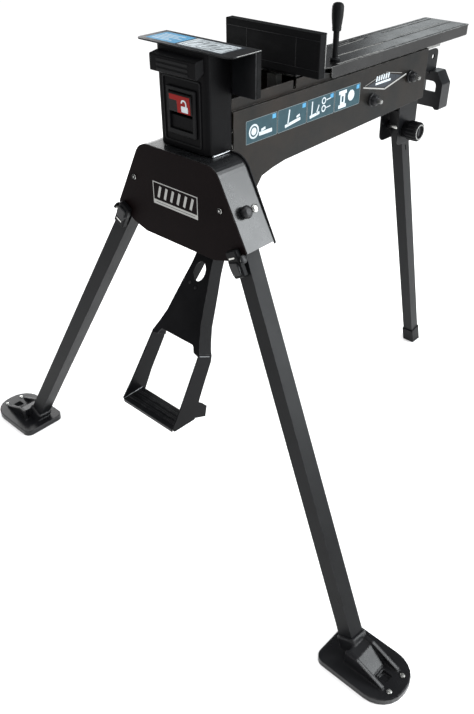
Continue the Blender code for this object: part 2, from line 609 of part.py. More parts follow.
def make_foot_pads(leg_frame, reach, end):
    """Plastic pads: a rounded base, a socket round the leg, a ramp and two ribs running out from it."""
    foot = leg_frame @ Vector((0, 0, reach))
    floor = Matrix.Translation(foot)
    middle = floor @ Matrix.Translation((0, PAD_OFFSET, 0))
    plan = [(PAD_OUTER, PAD_HALF, 0.045), (-PAD_INNER, PAD_HALF, 0.015), (-PAD_INNER, -PAD_HALF, 0.015),
            (PAD_OUTER, -PAD_HALF, 0.045)]
    pad = sheet(rounded(plan, 6), 0, 0.012, "Z", (), middle)
    join(pad, box((-0.0180, -0.0180, reach - 0.042), (0.0180, 0.0180, reach + 0.05), leg_frame, 0.003))
    ramp = [(0.046, 0.008), (0.046, 0.0145), (0.018, 0.0335), (-0.002, 0.0362), (-0.002, 0.008)]
    join(pad, sheet(ramp, -0.0205, 0.0205, "Y", (), middle))
    for y in (-PAD_RIB_HALF, PAD_RIB_HALF):
        rib = [(0.0700, 0.010), (0.0700, 0.0155), (0.0180, 0.0375), (-0.004, 0.0380), (-0.004, 0.010)]
        join(pad, sheet(rib, y - 0.0030, y + 0.0030, "Y", (), middle))
    cut(pad, box((-0.2, -0.2, -0.2), (0.2, 0.2, 0), floor))
    hollow = LEG_HALF + GAP
    cut(pad, box((-hollow, -hollow, reach - 0.10), (hollow, hollow, end + GAP), leg_frame))
    cut(pad, box((0.052, -0.009, 0.006), (0.068, 0.007, 0.02), middle))
    seat = foot + Vector((0.080, PAD_OFFSET - PAD_SCREW_HALF, 0.012))
    cut(pad, rod(0.0028, seat - Vector((0, 0, 0.008)), seat + Vector((0, 0, 0.008)), 12))
    both_sides(pad, "foot_pad", BLACK_PLASTIC, LEG_HOLDERS)
    profile = [(0, 0.0022), (0.003, 0.0020), (0.0045, 0.0010), (0.0045, GAP), (0.0025, GAP), (0.0025, -0.0075),
               (0, -0.0075)]
    screw = turned(profile, aimed(seat, (0, 0, 1)), 12)
    both_sides(screw, "foot_screw", PLAIN_STEEL, LEG_HOLDERS)


# Pedal -----------------------------------------------------------------------------------------


def pedal_outline(inset):
    """The pedal plate across its slope: half-widths at distances up from the knee."""
    half = [(PEDAL_HALF, 0), (0.0595, 0.006), (0.0500, 0.028), (0.0415, 0.052), (0.0360, 0.0806),
            (0.0290, 0.115), (0.0230, 0.142), (0.0200, 0.1646), (0.0200, 0.400)]
    half = [(x - inset, rise) for x, rise in half]
    half[0] = (half[0][0], -10 * inset)
    return mirrored(half)


def pedal_side(up):
    """The pedal's side above the knee, in Y and Z: plate, flanges and the two pivot ears."""
    y, z = PEDAL_PIVOT.y, PEDAL_PIVOT.z
    plate_top = PEDAL_KNEE + 0.190 * up
    below = PEDAL_KNEE - 0.030 * up
    return rounded([
        (below.y, below.z, 0), (-0.380, 0.340, 0), (-0.3717, 0.3758, 0.01), (-0.296, 0.513, 0.01),
        (y + 0.013, z - 0.020, 0.01), (y + 0.012, z + 0.010, 0.01),
        (y + 0.009, z + ROD_PIN_RISE + 0.008, 0.008), (y - 0.009, z + ROD_PIN_RISE + 0.008, 0.008),
        (y - 0.014, z, 0.012), (plate_top.y, plate_top.z, 0.004)])


def make_pedal():
    up = Vector((0, math.sin(PEDAL_TILT), math.cos(PEDAL_TILT)))
    out = Vector((0, -math.cos(PEDAL_TILT), math.sin(PEDAL_TILT)))
    frame = Matrix.Translation(PEDAL_KNEE) @ Matrix(((1, 0, 0), up, out)).transposed().to_4x4()
    y, z = PEDAL_PIVOT.y, PEDAL_PIVOT.z

    body = sheet(pedal_outline(0), -0.080, 0.060, "Z", (), frame)
    keep(body, sheet(pedal_side(up), -0.1, 0.1, "X"))
    cut(body, sheet(pedal_outline(SHEET + 0.0005), -0.120, -0.0025, "Z", (), frame))
    cut(body, box((-0.0175, 0.185, -0.1), (0.0175, 0.5, 0.07), frame))
    arch = [(0.058, -0.03, 0), (0.058, 0.001, 0), (0.046, 0.004, 0.002), (0.040, 0.0155, 0.006)]
    cut(body, sheet(rounded(mirrored(arch)), -0.01, 0.01, "Z", (), frame))
    cut(body, sheet(ring(0, 0.1360, 0.0130, 16, 1.35), -0.01, 0.01, "Z", (), frame))

    bar = rounded([(-0.4022, 0.3866, 0), (PEDAL_KNEE.y, PEDAL_KNEE.z, 0.01), (-0.4570, 0.3010, 0.04),
                   (-0.4785, 0.2715, 0.002),
                   (-0.4765, 0.2645, 0.003), (-0.4270, 0.2635, 0.003), (-0.4100, 0.3020, 0.02),
                   (-0.3770, 0.3600, 0.01), (-0.3740, 0.3720, 0)])
    tab = [(-0.4260, 0.2655), (-0.4015, 0.2555), (-0.3962, 0.2758), (-0.4060, 0.2870), (-0.4180, 0.2960)]
    for sign in (1, -1):
        hip = Vector((sign * PEDAL_HALF, 0, PEDAL_KNEE.z))
        splay = Matrix.Rotation(-sign * PEDAL_SPLAY, 4, "Y")
        lean = Matrix.Translation(hip) @ splay @ Matrix.Translation((0, 0, -PEDAL_KNEE.z))
        edges = sorted((-sign * 0.0026, 0))
        join(body, sheet(bar, *edges, "X", (), lean))
        if sign == 1:
            join(body, sheet(tab, *edges, "X", (), lean))
    for height, radius in ((z, 0.0053), (z + ROD_PIN_RISE, 0.0033)):
        cut(body, rod(radius, (-0.03, y, height), (0.03, y, height), 16))
    named(body, "pedal_frame", BLACK_PAINT, PEDAL)

    half = PEDAL_HALF + (PEDAL_KNEE.z - 0.2745) * math.tan(PEDAL_SPLAY) - 0.0026 - 2 * GAP
    tread = [(-0.4335, 0.2722), (-0.4797, 0.2705), (-0.4790, 0.2640), (-0.4766, 0.2640), (-0.4768, 0.2680),
             (-0.4360, 0.2696), (-0.4360, 0.2655), (-0.4335, 0.2655)]
    tread = sheet(tread, -half, half, "X")
    for step in range(3):
        middle = -0.4460 - 0.0105 * step
        join(tread, box((-half + 0.004, middle - 0.0022, 0.2690), (half - 0.004, middle + 0.0022, 0.2732)))
    named(tread, "pedal_tread", BLACK_PAINT, PEDAL)

    pin = rod(0.0030, (-0.0225, y, z + ROD_PIN_RISE), (0.0225, y, z + ROD_PIN_RISE), 16)
    named(pin, "rod_pin", BRIGHT_STEEL, PEDAL)
    for name, sign in (("right", 1), ("left", -1)):
        length = BEAM_HALF - SHEET - 2 * GAP - 0.020 - GAP
        profile = [(0.0054, length), (0.0090, length), (0.0090, 0), (0.0054, 0), (0.0054, length)]
        bush = turned(profile, aimed((sign * (0.020 + GAP), y, z), (sign, 0, 0)), 16)
        named(bush, f"pedal_bush_{name}", BLACK_PLASTIC, PEDAL)
    length = 2 * BEAM_HALF + 0.012
    profile = [(0, length), (0.0050, length), (0.0050, 0.006 - GAP), (0.0090, 0.006 - GAP), (0.0090, 0.001),
               (0.0080, 0), (0, 0)]
    bolt = turned(profile, aimed((-BEAM_HALF - 0.006, y, z), (1, 0, 0)), 16)
    named(bolt, "pedal_pivot_bolt", BRIGHT_STEEL, STAND)


def make_pull_rod():
    """The bar between the pedal and the drive plate; a slot at its front end takes the pedal's pin."""
    y, z = PEDAL_PIVOT.y, PEDAL_PIVOT.z + ROD_PIN_RISE
    outline = rounded([(y - 0.012, z - 0.014, 0.005), (y + 0.014, z - 0.014, 0.005), (y + 0.018, z - 0.004, 0),
                       (0.0995, z - 0.004, 0), (0.0995, z + 0.008, 0), (y - 0.012, z + 0.008, 0.005)])
    slot = rounded([(y - 0.0040, z - 0.0110, 0.003), (y + 0.0040, z - 0.0110, 0.003),
                    (y + 0.0040, z + 0.0045, 0.003), (y - 0.0040, z + 0.0045, 0.003)])
    bar = sheet(outline, -0.003, 0.003, "X", [slot])
    join(bar, rod(0.0015, (0, -0.200, z), (0.0230, -0.200, z), 10))
    named(bar, "pull_rod", PLAIN_STEEL, PULL)
    plate = [(-0.020, 0.688), (0.020, 0.688), (0.020, 0.775), (-0.020, 0.775)]
    window = [(-0.0112, 0.7500), (0.0112, 0.7500), (0.0112, 0.7660), (-0.0112, 0.7660)]
    named(sheet(plate, 0.0998, 0.1030, "Y", [window]), "drive_plate", PLAIN_STEEL, PULL)
    coil = helix(0.0040, 0.085, 12, 0.0012, aimed((0.0180, -0.190, z), (0, 1, 0)))
    named(coil, "return_spring", BRIGHT_STEEL, PULL)


def make_release():
    """The release rod from the rocker to the hold plate that stops the slide bar from running back."""
    tail_y = -0.352 + 0.003
    bar = rod(0.0025, (0.030, tail_y + 0.004, 0.735), (0.030, 0.1245, 0.735), 12)
    tip = box((0.0165, tail_y + 0.001, 0.731), (0.0325, tail_y + 0.005, 0.739))
    named(join(bar, tip), "release_rod", PLAIN_STEEL, RELEASE)
    plate = [(-0.020, 0.692), (0.020, 0.692), (0.020, 0.715), (0.036, 0.725), (0.036, 0.745), (0.020, 0.755),
             (0.020, 0.775), (-0.020, 0.775)]
    window = [(-0.0112, 0.7475), (0.0112, 0.7475), (0.0112, 0.7685), (-0.0112, 0.7685)]
    named(sheet(plate, 0.1252, 0.1288, "Y", [window]), "hold_plate", PLAIN_STEEL, HOLD)


# Jaw slide -------------------------------------------------------------------------------------


def make_slide():
    nose = SLIDE_HALF - 0.009
    half = [(nose, MOVING_FACE_Y + 0.014, 0), (nose, SKIRT_FRONT_Y - 0.018, 0.008),
            (SLIDE_HALF, SKIRT_FRONT_Y - 0.002, 0.008), (SLIDE_HALF, SLIDE_REAR_Y, 0.004)]
    slide = sheet(rounded(mirrored(half)), SLIDE_TOP_Z - SHEET, SLIDE_TOP_Z)
    skirt_end = SLIDE_REAR_Y - 0.0055
    skirt = rounded([(SKIRT_FRONT_Y, 0.7932, 0), (SKIRT_FRONT_Y, 0.7745, 0.006), (skirt_end, 0.7745, 0.003),
                     (skirt_end, 0.7932, 0)])
    for sign in (1, -1):
        edges = sorted((sign * (SLIDE_HALF - SHEET), sign * SLIDE_HALF))
        join(slide, sheet(skirt, *edges, "X"))
    named(slide, "slide_channel", BLACK_PAINT, SLIDE)

    low, high = 0.752, 0.764
    hanger_top = SLIDE_TOP_Z - SHEET - GAP
    bar = box((-0.010, -0.175, low), (0.010, 0.360, high))
    for y in (-0.160, 0.335):
        join(bar, box((-0.0095, y, high - 0.001), (0.0095, y + 0.015, hanger_top)))
    named(bar, "slide_bar", BRIGHT_STEEL, SLIDE)

    back = MOVING_FACE_Y + 0.016
    foot_z = SLIDE_TOP_Z + GAP
    half = JAW_HALF + 0.001
    wall = box((-half, back - SHEET, JAW_FOOT_Z), (half, back, JAW_TOP_Z))
    web = box((-nose, back - SHEET, foot_z), (nose, back, JAW_FOOT_Z + 0.01))
    foot = box((-nose, back - SHEET, foot_z), (nose, back + 0.024, foot_z + SHEET))
    jaw = join(wall, web, foot)
    for x in (0.026, -0.026):
        cut(jaw, rod(0.0032, (x, back + 0.012, 0.78), (x, back + 0.012, 0.81), 12))
    named(jaw, "moving_jaw_plate", BLACK_PAINT, SLIDE)
    pad = box((-half, MOVING_FACE_Y, JAW_FOOT_Z), (half, back - SHEET - GAP, JAW_TOP_Z), bevel=0.001)
    named(pad, "moving_jaw_pad", JAW_RUBBER, SLIDE)
    for name, x in (("right", 0.026), ("left", -0.026)):
        profile = [(0, 0.0045), (0.0030, 0.0043), (0.0052, 0.0025), (0.0052, GAP), (0.0028, GAP),
                   (0.0028, -SHEET), (0, -SHEET)]
        screw = turned(profile, aimed((x, back + 0.012, foot_z + SHEET), (0, 0, 1)), 12)
        named(screw, f"jaw_screw_{name}", BRIGHT_STEEL, SLIDE)


def make_lever():
    """A short upright handle that spins on its post behind the moving jaw."""
    post = [(0, 0.090), (0.0028, 0.090), (0.0028, 0.048), (0.0052, 0.048), (0.0052, 0.006), (0.0090, 0.005),
            (0.0090, GAP), (0, GAP)]
    frame = Matrix.Translation((0.031, -0.032, SLIDE_TOP_Z))
    named(turned(post, frame, 16), "lever_post", BRIGHT_STEEL, SLIDE)
    grip = [(0, 0.0925), (0.0070, 0.0920), (0.0096, 0.0895), (0.0102, 0.080), (0.0095, 0.064), (0.0077, 0.050),
            (0.0060, 0.0485), (0.0031, 0.0485), (0.0031, 0.0904), (0, 0.0904)]
    named(turned(grip, frame, 20), "lever_grip", BLACK_PLASTIC, LEVER)


def make_all():
    make_bracket()
    make_leg_stops()
    make_column()
    make_rocker()
    make_fixed_jaw()
    make_beam()
    make_beam_bolts()
    make_handle()
    make_rear_leg()
    make_front_legs()
    make_pedal()
    make_pull_rod()
    make_release()
    make_slide()
    make_lever()


make_all()
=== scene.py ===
import math

import bmesh
import bpy
from mathutils import Matrix, Vector


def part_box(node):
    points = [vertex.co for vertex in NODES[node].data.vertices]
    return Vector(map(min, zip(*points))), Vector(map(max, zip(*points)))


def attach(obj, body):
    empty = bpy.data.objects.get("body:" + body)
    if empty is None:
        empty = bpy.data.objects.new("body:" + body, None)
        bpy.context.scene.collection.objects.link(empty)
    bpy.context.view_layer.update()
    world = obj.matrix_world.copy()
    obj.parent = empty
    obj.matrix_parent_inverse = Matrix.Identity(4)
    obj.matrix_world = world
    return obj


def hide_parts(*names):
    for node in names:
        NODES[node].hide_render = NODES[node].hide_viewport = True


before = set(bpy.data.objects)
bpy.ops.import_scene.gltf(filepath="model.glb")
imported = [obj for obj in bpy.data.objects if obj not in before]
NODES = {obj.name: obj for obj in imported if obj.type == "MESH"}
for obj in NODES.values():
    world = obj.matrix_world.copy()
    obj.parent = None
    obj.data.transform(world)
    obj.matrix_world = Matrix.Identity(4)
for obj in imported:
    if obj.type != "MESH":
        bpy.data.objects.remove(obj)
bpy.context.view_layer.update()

# The design frame of the stand: its floor plane and its middle line, read off two CAD nodes.
SHIFT = Vector((0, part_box("front_plate")[0].y + 0.381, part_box("slide_channel")[1].z - 0.7943))


def at(x, y, z):
    """A place given in the design frame."""
    return Vector((x, y, z)) + SHIFT


# Materials -------------------------------------------------------------------------------------


class Surface:
    """A Principled material that is built up node by node."""

    def __init__(self, name, metallic=0.0, specular=0.5, coat=0.0):
        self.material = bpy.data.materials.new(name)
        self.material.use_nodes = True
        self.tree = self.material.node_tree
        self.shader = self.tree.nodes["Principled BSDF"]
        self.shader.inputs["Metallic"].default_value = metallic
        self.shader.inputs["Specular IOR Level"].default_value = specular
        self.shader.inputs["Coat Weight"].default_value = coat
        self.place = self.node("ShaderNodeTexCoord").outputs["Object"]

    def node(self, kind, **settings):
        made = self.tree.nodes.new(kind)
        for key, value in settings.items():
            setattr(made, key, value)
        return made

    def link(self, source, target):
        self.tree.links.new(source, target)

    def noise(self, scale, detail=3.0, roughness=0.55, stretch=(1, 1, 1)):
        """A grey noise over the object, stretched along its axes."""
        mapping = self.node("ShaderNodeMapping")
        mapping.inputs["Scale"].default_value = stretch
        self.link(self.place, mapping.inputs["Vector"])
        texture = self.node("ShaderNodeTexNoise")
        texture.inputs["Scale"].default_value = scale
        texture.inputs["Detail"].default_value = detail
        texture.inputs["Roughness"].default_value = roughness
        self.link(mapping.outputs["Vector"], texture.inputs["Vector"])
        return texture.outputs["Fac"]

    def spots(self, scale):
        """Cells whose distance to their middle gives specks."""
        texture = self.node("ShaderNodeTexVoronoi")
        texture.inputs["Scale"].default_value = scale
        self.link(self.place, texture.inputs["Vector"])
        return texture.outputs["Distance"]

    def remap(self, value, low, high, start=0.0, end=1.0):
        """Maps low..high of a value onto start..end, and holds it there."""
        mapped = self.node("ShaderNodeMapRange", clamp=True)
        self.link(value, mapped.inputs["Value"])
        for key, number in zip(("From Min", "From Max", "To Min", "To Max"), (low, high, start, end)):
            mapped.inputs[key].default_value = number
        return mapped.outputs["Result"]

    def times(self, one, other):
        product = self.node("ShaderNodeMath", operation="MULTIPLY")
        self.link(one, product.inputs[0])
        self.link(other, product.inputs[1])
        return product.outputs["Value"]

    def blend(self, factor, one, other):
        """Mixes two colours; each is a colour or the output of another blend."""
        mix = self.node("ShaderNodeMix", data_type="RGBA")
        self.link(factor, mix.inputs["Factor"])
        for socket, colour in ((mix.inputs[6], one), (mix.inputs[7], other)):
            if isinstance(colour, tuple):
                socket.default_value = (*colour, 1)
            else:
                self.link(colour, socket)
        return mix.outputs[2]

    def edges(self, radius):
        """One on sharp edges and nought on flat faces."""
        bevel = self.node("ShaderNodeBevel", samples=4)
        bevel.inputs["Radius"].default_value = radius
        flat = self.node("ShaderNodeNewGeometry").outputs["Normal"]
        dot = self.node("ShaderNodeVectorMath", operation="DOT_PRODUCT")
        self.link(bevel.outputs["Normal"], dot.inputs[0])
        self.link(flat, dot.inputs[1])
        return self.remap(dot.outputs["Value"], 0.99, 0.86)

    def upward(self):
        """One on faces that look up, nought on the rest."""
        split = self.node("ShaderNodeSeparateXYZ")
        self.link(self.node("ShaderNodeNewGeometry").outputs["Normal"], split.inputs["Vector"])
        return self.remap(split.outputs["Z"], 0.3, 0.95)

    def finish(self, colour, roughness, heights, soft_edge=0.0008):
        """Links colour and roughness, and stacks (height, strength, distance) bumps on softened edges."""
        self.link(colour, self.shader.inputs["Base Color"])
        self.link(roughness, self.shader.inputs["Roughness"])
        bevel = self.node("ShaderNodeBevel", samples=4)
        bevel.inputs["Radius"].default_value = soft_edge
        normal = bevel.outputs["Normal"]
        for height, strength, distance in heights:
            bump = self.node("ShaderNodeBump")
            bump.inputs["Strength"].default_value = strength
            bump.inputs["Distance"].default_value = distance
            self.link(height, bump.inputs["Height"])
            self.link(normal, bump.inputs["Normal"])
            normal = bump.outputs["Normal"]
        self.link(normal, self.shader.inputs["Normal"])
        return self.material


def powder_coat(name, colour, worn, dust, gloss, specular=0.4, peel=0.12, scuff=0.10, lit_warm_tone=None):
    """Baked powder paint: a fine orange peel, scuffed edges and a little dust on what faces up. On the slide paint
    the pale edge colour is also a painted highlight.
    """
    skin = Surface(name, specular=specular)
    cloud = skin.noise(9, 6, 0.62)
    scuffs = skin.remap(skin.noise(160, 5, 0.7, (1, 0.35, 1)), 0.60, 0.72)
    # Edges take the worn colour: scuffed paint, and on the slide paint a painted highlight as well.
    rim = skin.times(skin.edges(0.0011), skin.remap(skin.noise(70, 4), 0.36, 0.62))
    lighter = tuple(channel * 1.6 + 0.001 for channel in colour)
    # The cloud mixes the paint with a paler tone of it; a given lit warm tone takes that tone's place as painted
    # light.
    shade = skin.blend(skin.remap(cloud, 0.35, 0.68), colour, lit_warm_tone or lighter)
    settled = skin.times(skin.upward(), skin.remap(skin.noise(34, 6, 0.7), 0.40, 0.70, 0.0, 0.55))
    shade = skin.blend(settled, shade, dust)
    shade = skin.blend(rim, shade, worn)
    rough = skin.remap(cloud, 0.3, 0.7, gloss - 0.07, gloss + 0.08)
    more = skin.node("ShaderNodeMath", operation="MULTIPLY_ADD")
    skin.link(scuffs, more.inputs[0])
    more.inputs[1].default_value = scuff
    skin.link(rough, more.inputs[2])
    return skin.finish(shade, more.outputs["Value"],
                       [(skin.noise(1500, 2), peel, 0.0002), (skin.noise(420, 2), peel * 0.8, 0.0004)])


def moulded(name, colour, roughness, grain=0.25, specular=0.35, soft_edge=0.0010):
    """Injection-moulded plastic: a leathery spark-eroded grain and slightly paler edges."""
    skin = Surface(name, specular=specular)
    cloud = skin.noise(14, 5, 0.6)
    paler = tuple(channel * 2.0 + 0.004 for channel in colour)
    shade = skin.blend(skin.remap(cloud, 0.35, 0.7), colour, tuple(channel * 1.5 for channel in colour))
    shade = skin.blend(skin.times(skin.edges(0.0009), skin.remap(skin.noise(90, 4), 0.3, 0.6)), shade, paler)
    rough = skin.remap(cloud, 0.3, 0.7, roughness - 0.06, roughness + 0.08)
    return skin.finish(shade, rough, [(skin.spots(1300), grain, 0.00015), (skin.noise(300, 3), 0.12, 0.0002)],
                       soft_edge)


def rubber(name, colour):
    """A matt jaw facing with fine cross grain and a few dull rub marks."""
    skin = Surface(name, specular=0.08)
    rubbed = skin.remap(skin.noise(26, 6, 0.7, (0.4, 1, 1)), 0.50, 0.72, 0.0, 0.6)
    shade = skin.blend(rubbed, colour, (0.0085, 0.0086, 0.0092))
    rough = skin.remap(rubbed, 0.0, 0.6, 0.72, 0.58)
    return skin.finish(shade, rough, [(skin.noise(900, 3, 0.6, (0.25, 1, 1)), 0.35, 0.0003)], 0.0009)


def plated(name, colour, roughness, tint, stretch=(1, 1, 1)):
    """Plated steel: cloudy zinc with fine machining marks and a few dull spots."""
    skin = Surface(name, metallic=1.0)
    cloud = skin.noise(60, 5, 0.6)
    shade = skin.blend(skin.remap(cloud, 0.35, 0.68), colour, tint)
    dull = skin.remap(skin.noise(240, 4, 0.7), 0.52, 0.70, 0.0, 0.22)
    rough = skin.node("ShaderNodeMath", operation="ADD")
    skin.link(dull, rough.inputs[0])
    skin.link(skin.remap(cloud, 0.3, 0.7, roughness - 0.06, roughness + 0.06), rough.inputs[1])
    return skin.finish(shade, rough.outputs["Value"], [(skin.noise(700, 3, 0.6, stretch), 0.18, 0.0002)], 0.0005)


def printed(name, colour, second, roughness=0.42, mottle=0.5):
    """Ink on a vinyl label: a faint print screen, uneven ink and tiny scratches."""
    skin = Surface(name, specular=0.16)
    cloud = skin.remap(skin.noise(55, 5, 0.65), 0.40, 0.66, 0.0, mottle)
    shade = skin.blend(cloud, colour, second)
    scratch = skin.remap(skin.noise(380, 3, 0.6, (1, 0.12, 1)), 0.62, 0.74, 0.0, 0.35)
    shade = skin.blend(scratch, shade, tuple(channel * 0.75 for channel in colour))
    rough = skin.remap(skin.noise(90, 4), 0.3, 0.7, roughness - 0.08, roughness + 0.10)
    return skin.finish(shade, rough, [(skin.noise(800, 2), 0.06, 0.0001)], 0.0002)


def pale_floor():
    skin = Surface("studio_floor", specular=0.1)
    shade = skin.blend(skin.remap(skin.noise(1.4, 4), 0.3, 0.7), (0.86, 0.86, 0.86), (0.90, 0.90, 0.90))
    rough = skin.remap(skin.noise(5, 3), 0.3, 0.7, 0.85, 0.95)
    return skin.finish(shade, rough, [(skin.noise(160, 2), 0.04, 0.0004)], 0.0001)


PAINT = powder_coat("paint_black", (0.0032, 0.0034, 0.0039), (0.050, 0.052, 0.055), (0.011, 0.011, 0.012), 0.33,
                    0.10)
PAINT_DEEP = powder_coat("paint_deep", (0.0024, 0.0024, 0.0028), (0.050, 0.051, 0.053), (0.008, 0.008, 0.009), 0.38,
                         0.07)
PAINT_BAND = powder_coat("paint_band", (0.0050, 0.0054, 0.0060), (0.10, 0.10, 0.105), (0.0055, 0.0055, 0.0060), 0.27,
                         0.55, 0.05, 0.0)
# The beam's paint is a lighter, warmer copy of the black paint: painted light on its lit side.
PAINT_BEAM_LIT = powder_coat("paint_beam_lit", (0.0044, 0.0050, 0.0051), (0.085, 0.083, 0.080), (0.022, 0.021, 0.020), 0.34,
                         0.10, lit_warm_tone=(0.0140, 0.0105, 0.0080))
# The front plate's paint is a darker, duller copy of the black paint: painted shade on its front face.
PAINT_FRONT_SHADED = powder_coat("paint_front_shaded", (0.0024, 0.0013, 0.0014), (0.030, 0.027, 0.026), (0.006, 0.005, 0.005),
                          0.44, 0.025)
# The slide's pale edge colour is a little wear and mostly a painted highlight along its edges.
PAINT_SLIDE = powder_coat("paint_slide", (0.0052, 0.0052, 0.0052), (0.30, 0.30, 0.29), (0.012, 0.0125, 0.0135), 0.26,
                          0.30, 0.04, 0.03)
PLASTIC = moulded("plastic_black", (0.0026, 0.0027, 0.0031), 0.44, 0.25, 0.10)
PLASTIC_COLUMN = moulded("plastic_column", (0.0016, 0.0016, 0.0019), 0.40, 0.12, 0.045)
PLASTIC_FOOT = moulded("plastic_foot", (0.0040, 0.0041, 0.0048), 0.28, 0.12, 0.34, 0.0040)
PLASTIC_SATIN = moulded("plastic_satin", (0.0050, 0.0052, 0.0060), 0.34, 0.12, 0.26)
RUBBER = rubber("jaw_rubber", (0.0028, 0.0029, 0.0032))
ZINC = plated("zinc_bright", (0.62, 0.62, 0.60), 0.26, (0.50, 0.50, 0.47))
STEEL = plated("steel_plain", (0.26, 0.26, 0.25), 0.42, (0.18, 0.18, 0.175), (1, 0.2, 1))
DARK_STEEL = plated("steel_blackened", (0.035, 0.036, 0.038), 0.38, (0.06, 0.06, 0.06))
BLACK_KEY = moulded("plastic_key", (0.0040, 0.0034, 0.0034), 0.40, 0.10, 0.12)
RED = moulded("plastic_red", (0.115, 0.0045, 0.0038), 0.38, 0.10, 0.08)
# Bright bare-metal welds: partly the weld itself, partly a painted highlight along the seams.
WELD_WITH_HIGHLIGHT = plated("weld_bead_highlight", (0.22, 0.23, 0.24), 0.34, (0.40, 0.41, 0.42))
TEAL = printed("print_teal", (0.010, 0.034, 0.045), (0.017, 0.054, 0.068))
LIGHT_BLUE = printed("print_light_blue", (0.045, 0.19, 0.34), (0.085, 0.30, 0.46))
WHITE = printed("print_white", (0.42, 0.46, 0.48), (0.30, 0.35, 0.38))
SILVER = printed("print_silver", (0.27, 0.27, 0.26), (0.20, 0.20, 0.195), 0.35)
PALE_LINE = printed("print_pale", (0.16, 0.19, 0.20), (0.11, 0.14, 0.15))
DARK_PRINT = printed("print_dark", (0.012, 0.015, 0.020), (0.026, 0.034, 0.042), 0.34)
GREY_PRINT = printed("print_grey", (0.27, 0.30, 0.315), (0.52, 0.57, 0.60), 0.34, 0.9)

NODE_SKINS = {
    PAINT: ("front_leg_right", "front_leg_left", "rear_leg", "rear_leg_bracket", "pedal_tread",
            "fixed_jaw_plate", "moving_jaw_plate", "handle_tongue"),
    PAINT_DEEP: ("pedal_frame", "back_plate", "lever_post"),
    PAINT_BAND: ("bracket_band",),
    PAINT_BEAM_LIT: ("main_beam",),
    PAINT_FRONT_SHADED: ("front_plate",),
    PAINT_SLIDE: ("slide_channel",),
    PLASTIC: ("switch_bezel", "leg_stop_right", "leg_stop_left", "rear_leg_cap", "rear_leg_bush_right",
              "rear_leg_bush_left", "pedal_bush_right", "pedal_bush_left", "lever_grip"),
    PLASTIC_COLUMN: ("column_shell", "column_hood"),
    PLASTIC_FOOT: ("foot_pad_right", "foot_pad_left"),
    PLASTIC_SATIN: ("carry_handle", "rear_knob", "leg_button_right", "leg_button_left", "beam_nut_front",
                    "beam_nut_rear"),
    RUBBER: ("fixed_jaw_pad", "moving_jaw_pad"),
    ZINC: ("plate_screw_right", "plate_screw_left", "stop_pin_right", "stop_pin_left", "knob_bolt",
           "leg_pivot_bolt_right", "leg_pivot_bolt_left", "pedal_pivot_bolt", "jaw_screw_right", "jaw_screw_left",
           "rod_pin", "return_spring", "foot_screw_right", "foot_screw_left"),
    STEEL: ("beam_bolt_front", "beam_bolt_rear", "slide_bar", "leg_hinge_right", "leg_hinge_left", "pull_rod",
            "drive_plate", "hold_plate", "release_rod"),
    BLACK_KEY: ("release_rocker",),
}


def dress_nodes():
    """Gives every CAD node its material."""
    for skin, names in NODE_SKINS.items():
        for name in names:
            for slot in NODES[name].material_slots:
                slot.material = skin


# Shapes ----------------------------------------------------------------------------------------


def piece(name, shape, skin, body, place=None, bevel=0.0, smooth=True):
    """A finished piece from a bmesh, with its edges rounded, riding on a CAD body."""
    bmesh.ops.recalc_face_normals(shape, faces=shape.faces)
    mesh = bpy.data.meshes.new(name)
    shape.to_mesh(mesh)
    shape.free()
    obj = bpy.data.objects.new(name, mesh)
    bpy.context.scene.collection.objects.link(obj)
    if place:
        mesh.transform(place)
        if place.determinant() < 0:
            mesh.flip_normals()
    if bevel:
        step = obj.modifiers.new("rounding", "BEVEL")
        step.width = bevel
        step.segments = 2
        step.limit_method = "ANGLE"
    for face in mesh.polygons:
        face.use_smooth = smooth
    if smooth:
        mesh.set_sharp_from_angle(angle=math.radians(35))
    mesh.materials.append(skin)
    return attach(obj, body)


def prism(shape, loop, low, high):
    """A closed loop of (x, y) points raised from low to high."""
    bottom = [shape.verts.new((x, y, low)) for x, y in loop]
    top = [shape.verts.new((x, y, high)) for x, y in loop]
    shape.faces.new(bottom[::-1])
    shape.faces.new(top)
    for index in range(len(loop)):
        after = (index + 1) % len(loop)
        shape.faces.new((bottom[index], bottom[after], top[after], top[index]))


def hoop(shape, outer, inner, low, high):
    """The band between two loops of the same count, raised from low to high."""
    rings = [[shape.verts.new((x, y, z)) for x, y in loop]
             for loop, z in ((outer, low), (outer, high), (inner, high), (inner, low))]
    count = len(outer)
    for ring, following in zip(rings, rings[1:] + rings[:1]):
        for index in range(count):
            after = (index + 1) % count
            shape.faces.new((ring[index], ring[after], following[after], following[index]))


def block(x0, y0, x1, y1):
    return [(x0, y0), (x1, y0), (x1, y1), (x0, y1)]


def disc(x, y, radius, count=24, stretch=1.0):
    angles = [2 * math.pi * step / count for step in range(count)]
    return [(x + radius * math.cos(a), y + stretch * radius * math.sin(a)) for a in angles]


def soft_block(x0, y0, x1, y1, radius, steps=4):
    """A rectangle with rounded corners."""
    loop = []
    for cx, cy, first in ((x1 - radius, y1 - radius, 0), (x0 + radius, y1 - radius, 90),
                          (x0 + radius, y0 + radius, 180), (x1 - radius, y0 + radius, 270)):
        for step in range(steps + 1):
            angle = math.radians(first + 90 * step / steps)
            loop.append((cx + radius * math.cos(angle), cy + radius * math.sin(angle)))
    return loop


def bar(x0, y0, x1, y1, width):
    """A straight stroke between two points."""
    along = Vector((x1 - x0, y1 - y0)).normalized() * width / 2
    return [(x0 - along.y, y0 + along.x), (x0 + along.y, y0 - along.x),
            (x1 + along.y, y1 - along.x), (x1 - along.y, y1 + along.x)]


